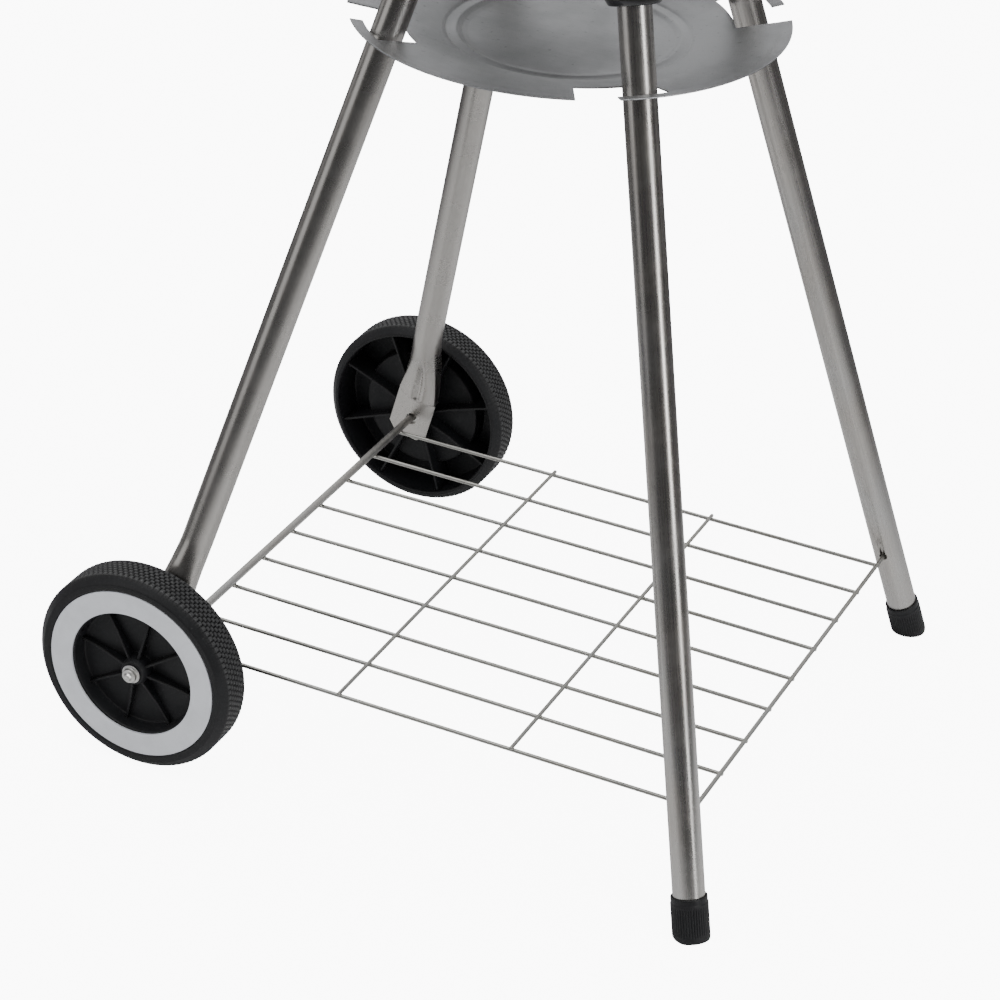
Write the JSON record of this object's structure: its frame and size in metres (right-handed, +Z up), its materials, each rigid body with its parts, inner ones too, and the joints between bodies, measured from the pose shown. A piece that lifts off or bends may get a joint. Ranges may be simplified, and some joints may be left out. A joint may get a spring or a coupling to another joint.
{
  "type": "kettle charcoal grill",
  "caption": "Round kettle charcoal grill with domed lid, vented bowl, twist-off ash pan, splayed tube legs, wire rack, wheels and capped feet.",
  "frame": {"origin": "on the floor under the bowl's axis, which is the middle of the object's box", "axes": "+Z up along the bowl's axis, wheels on the -X side, capped feet on the +X side, -Y the front"},
  "size_m": [0.554, 0.4712, 0.9976],
  "materials": {
    "steel_tube": "polished steel tube with fine lengthwise grain",
    "wire_steel": "bright drawn wire",
    "pan_metal": "matt rolled sheet",
    "black_enamel": "gloss black enamel on steel",
    "black_plastic": "moulded matt black",
    "pale_ring": "pale grey-white satin",
    "bright_zinc": "bright zinc plating",
    "grate_steel": "plated wire",
    "grip_wood": "oiled hardwood"
  },
  "bodies": {
    "frame": {"bowl": "black_enamel", "rack": "wire_steel", "axle": "bright_zinc", "leg_left_front": "steel_tube", "leg_left_back": "steel_tube", "leg_right_front": "steel_tube", "leg_right_back": "steel_tube", "leg_socket_left_front": "black_enamel", "leg_socket_left_back": "black_enamel", "leg_socket_right_front": "black_enamel", "leg_socket_right_back": "black_enamel", "leg_screw_left_front": "bright_zinc", "leg_screw_left_back": "bright_zinc", "leg_screw_right_front": "bright_zinc", "leg_screw_right_back": "bright_zinc", "foot_cap_front": "black_plastic", "foot_cap_back": "black_plastic", "wheel_washer_front": "bright_zinc", "wheel_washer_back": "bright_zinc", "axle_cap_front": "bright_zinc", "axle_cap_back": "bright_zinc", "bowl_damper_rivet": "bright_zinc", "grate_support_1": "grate_steel", "grate_support_2": "grate_steel", "grate_support_3": "grate_steel", "grate_support_4": "grate_steel", "bowl_handle_left_rod": "bright_zinc", "bowl_handle_left_grip": "grip_wood", "bowl_handle_right_rod": "bright_zinc", "bowl_handle_right_grip": "grip_wood"},
    "front_wheel": {"wheel_front": "black_plastic", "wheel_ring_front": "pale_ring"},
    "back_wheel": {"wheel_back": "black_plastic", "wheel_ring_back": "pale_ring"},
    "ash_pan": {"ash_pan": "pan_metal"},
    "charcoal_grate": {"charcoal_grate": "grate_steel"},
    "cooking_grate": {"cooking_grate": "grate_steel"},
    "bowl_damper": {"bowl_damper": "bright_zinc"},
    "lid": {"lid": "black_enamel", "lid_handle_rod": "bright_zinc", "lid_handle_grip": "grip_wood", "lid_damper_rivet": "bright_zinc"},
    "lid_damper": {"lid_damper": "bright_zinc"}
  },
  "joints": [
    {"name": "front_wheel_spin", "type": "hinge", "parent": "frame", "child": "front_wheel", "pos_m": [-0.201, -0.2145, 0.076], "axis": [0, 1, 0], "continuous": true},
    {"name": "back_wheel_spin", "type": "hinge", "parent": "frame", "child": "back_wheel", "pos_m": [-0.201, 0.2145, 0.076], "axis": [0, 1, 0], "continuous": true},
    {"name": "ash_pan_twist", "type": "hinge", "parent": "frame", "child": "ash_pan", "pos_m": [0, 0, 0.529], "axis": [0, 0, 1], "range_deg": [0, 13]},
    {"name": "charcoal_grate_lift", "type": "slide", "parent": "frame", "child": "charcoal_grate", "axis": [0, 0, 1], "range_m": [0, 0.06]},
    {"name": "cooking_grate_lift", "type": "slide", "parent": "frame", "child": "cooking_grate", "axis": [0, 0, 1], "range_m": [0, 0.012]},
    {"name": "bowl_damper_turn", "type": "hinge", "parent": "frame", "child": "bowl_damper", "pos_m": [0, 0, 0.586], "axis": [0, 0, 1], "range_deg": [0, 45]},
    {"name": "lid_lift", "type": "slide", "parent": "frame", "child": "lid", "axis": [0, 0, 1], "range_m": [0, 0.35]},
    {"name": "lid_damper_turn", "type": "hinge", "parent": "lid", "child": "lid_damper", "pos_m": [0, -0.10603, 0.91393], "axis": [0, -0.342, 0.9397], "range_deg": [0, 45]}
  ]
}
